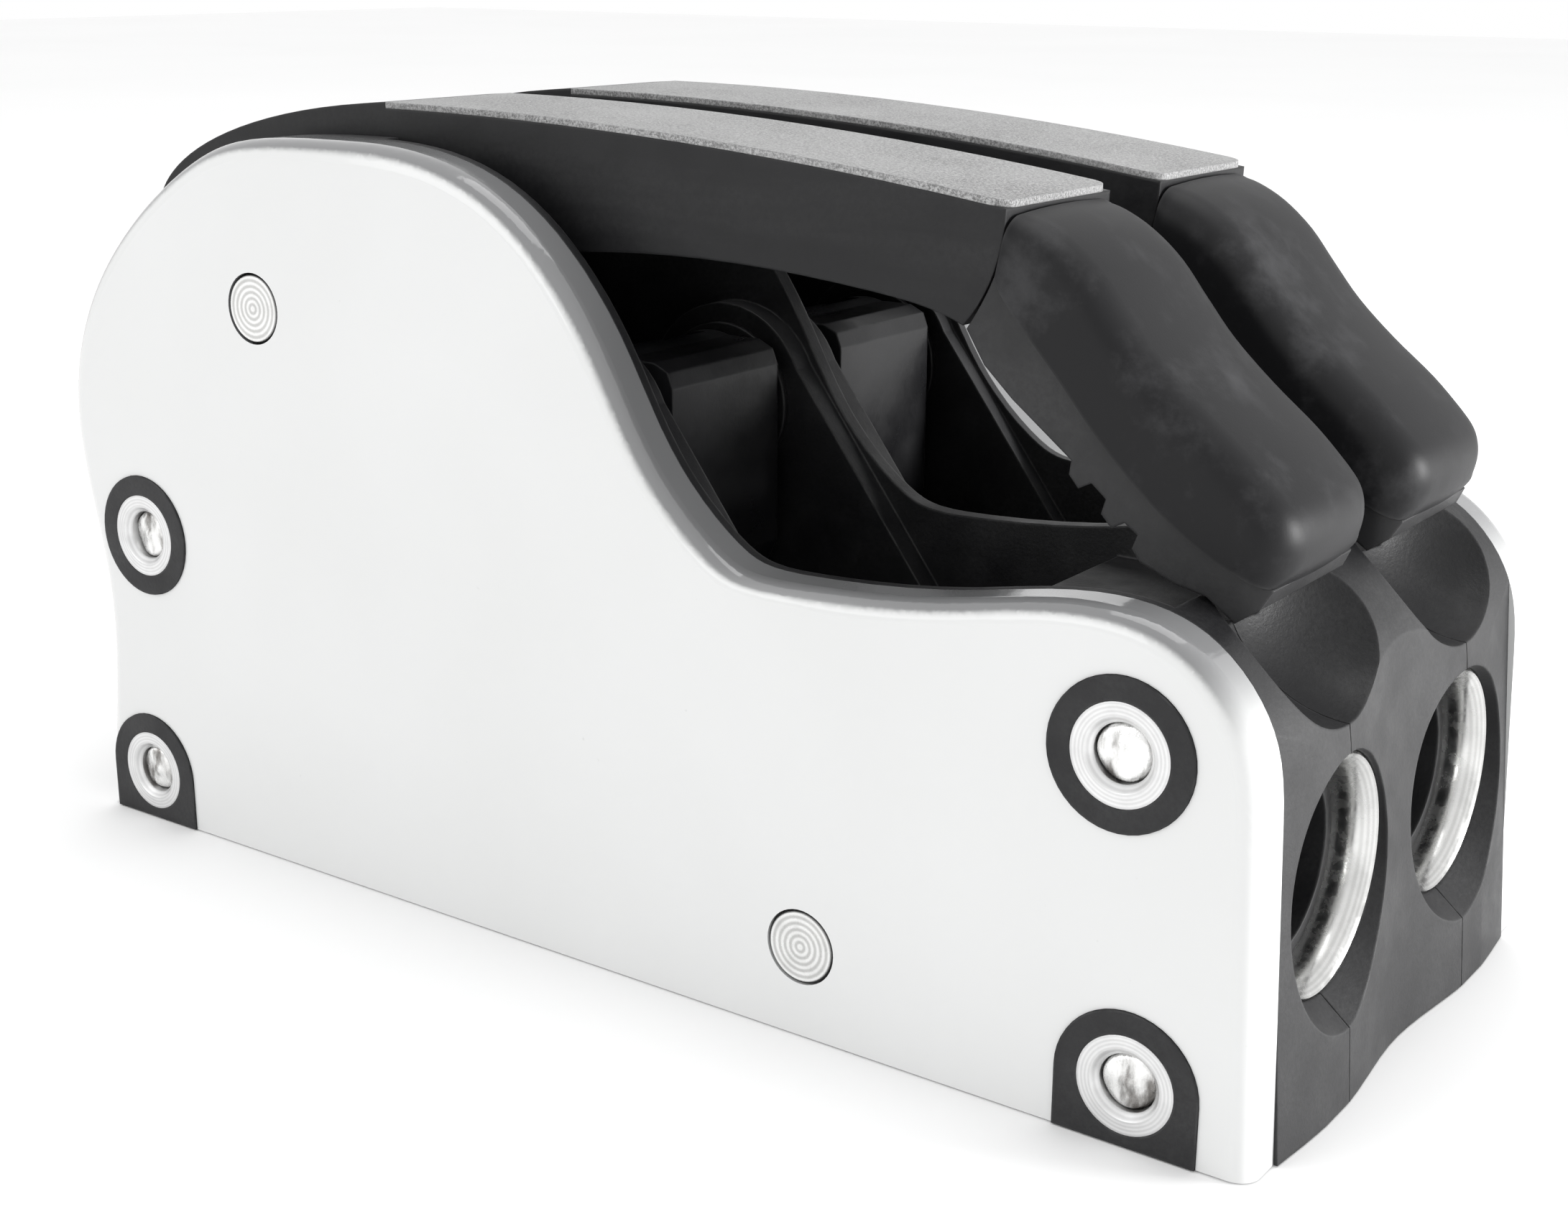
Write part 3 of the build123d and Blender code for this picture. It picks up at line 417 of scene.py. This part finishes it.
def tie_rod(name, place):
    """Rod whose cropped ends are uneven, unlike a sawn or turned one."""
    form = bmesh.new()
    steps = 40
    shares = (0.25, 0.5, 0.72, 0.88, 1.0)
    rims = []
    for way in (-1, 1):
        middle = form.verts.new((place[0], way * (ROD_END_Y + torn_end(place, 0.0, 0.0)) * MM, place[1]))
        rings = []
        for share in shares:
            ring = []
            for step in range(steps):
                angle = 2 * math.pi * step / steps
                reach = ROD_RADIUS * share * MM
                out = ROD_END_Y - 0.4 + torn_end(place, angle * way, share)
                ring.append(form.verts.new((place[0] + reach * math.cos(angle), way * out * MM,
                                            place[1] + reach * math.sin(angle))))
            rings.append(ring)
        for step in range(steps):
            form.faces.new((middle, rings[0][step], rings[0][(step + 1) % steps]))
        for inner, outer in zip(rings, rings[1:]):
            for step in range(steps):
                after = (step + 1) % steps
                form.faces.new((inner[step], outer[step], outer[after], inner[after]))
        rims.append(rings[-1])
    for step in range(steps):
        after = (step + 1) % steps
        form.faces.new((rims[0][step], rims[1][step], rims[1][after], rims[0][after]))
    bmesh.ops.recalc_face_normals(form, faces=form.faces)
    rod = mesh_piece(f"{name}_cropped_rod", form, rod_steel)
    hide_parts(f"{name}_tie_rod")
    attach(rod, "frame")


for lane, lane_y in LANE_Y.items():
    grip_cover(lane, lane_y)
for place, centre in TIE_PLACES.items():
    tie_rod(place, centre)


# ---- studio -------------------------------------------------------------------------------------
FLOOR_HALF = 3.0
FLOOR_DROP = 0.0002        # keeps the floor clear of the object's base


def studio_floor():
    """Pale, flat floor."""
    mesh = bpy.data.meshes.new("studio_floor")
    floor = bmesh.new()
    bmesh.ops.create_grid(floor, x_segments=8, y_segments=8, size=FLOOR_HALF)
    for vertex in floor.verts:
        vertex.co.z = -FLOOR_DROP
    floor.to_mesh(mesh)
    floor.free()
    obj = bpy.data.objects.new("studio_floor", mesh)
    bpy.context.collection.objects.link(obj)
    look = Look("studio_paper", specular=0.2)
    cloud = look.noise(300, detail=2)
    mesh.materials.append(look.finish(look.blend(cloud, (0.93, 0.93, 0.93), (0.97, 0.97, 0.97)),
                                      look.scale(cloud, 0.2, 0.8, 0.7, 0.85)))


def softbox(name, place, target, size, power):
    """Square area light that faces a point."""
    light = bpy.data.lights.new(name, "AREA")
    light.size = size
    light.energy = power
    obj = bpy.data.objects.new(name, light)
    obj.location = place
    obj.rotation_euler = (Vector(target) - Vector(place)).to_track_quat("-Z", "Y").to_euler()
    bpy.context.collection.objects.link(obj)


def studio_lights():
    """White surroundings, with lights from the left, low past the entry end and above."""
    world = bpy.data.worlds.new("studio")
    world.use_nodes = True
    world.node_tree.nodes["Background"].inputs["Color"].default_value = (1.0, 1.0, 1.0, 1.0)
    world.node_tree.nodes["Background"].inputs["Strength"].default_value = 1.0
    bpy.context.scene.world = world
    bpy.context.scene.view_settings.view_transform = "Standard"
    middle = (0.0, 0.0, 0.05)
    softbox("left_softbox", (-0.5, -0.9, 0.5), middle, 0.7, 1.8)
    softbox("right_softbox", (1.0, 0.45, 0.16), (0.09, 0.0, 0.03), 0.3, 13.0)
    softbox("top_softbox", (0.0, 0.2, 1.1), middle, 0.7, 3.0)


def photo_camera():
    """Camera at the height, distance and angle that the object is meant to be seen from."""
    data = bpy.data.cameras.new("camera")
    data.lens = CAMERA_LENS
    data.sensor_width = 36.0
    data.clip_start = 0.01
    camera = bpy.data.objects.new("camera", data)
    bpy.context.collection.objects.link(camera)
    camera.matrix_world = (Matrix.Translation(CAMERA_PLACE) @ Matrix.Rotation(CAMERA_YAW, 4, "Z")
                           @ Matrix.Rotation(CAMERA_PITCH, 4, "X") @ Matrix.Rotation(CAMERA_ROLL, 4, "Z"))
    bpy.context.scene.camera = camera


studio_floor()
studio_lights()
photo_camera()
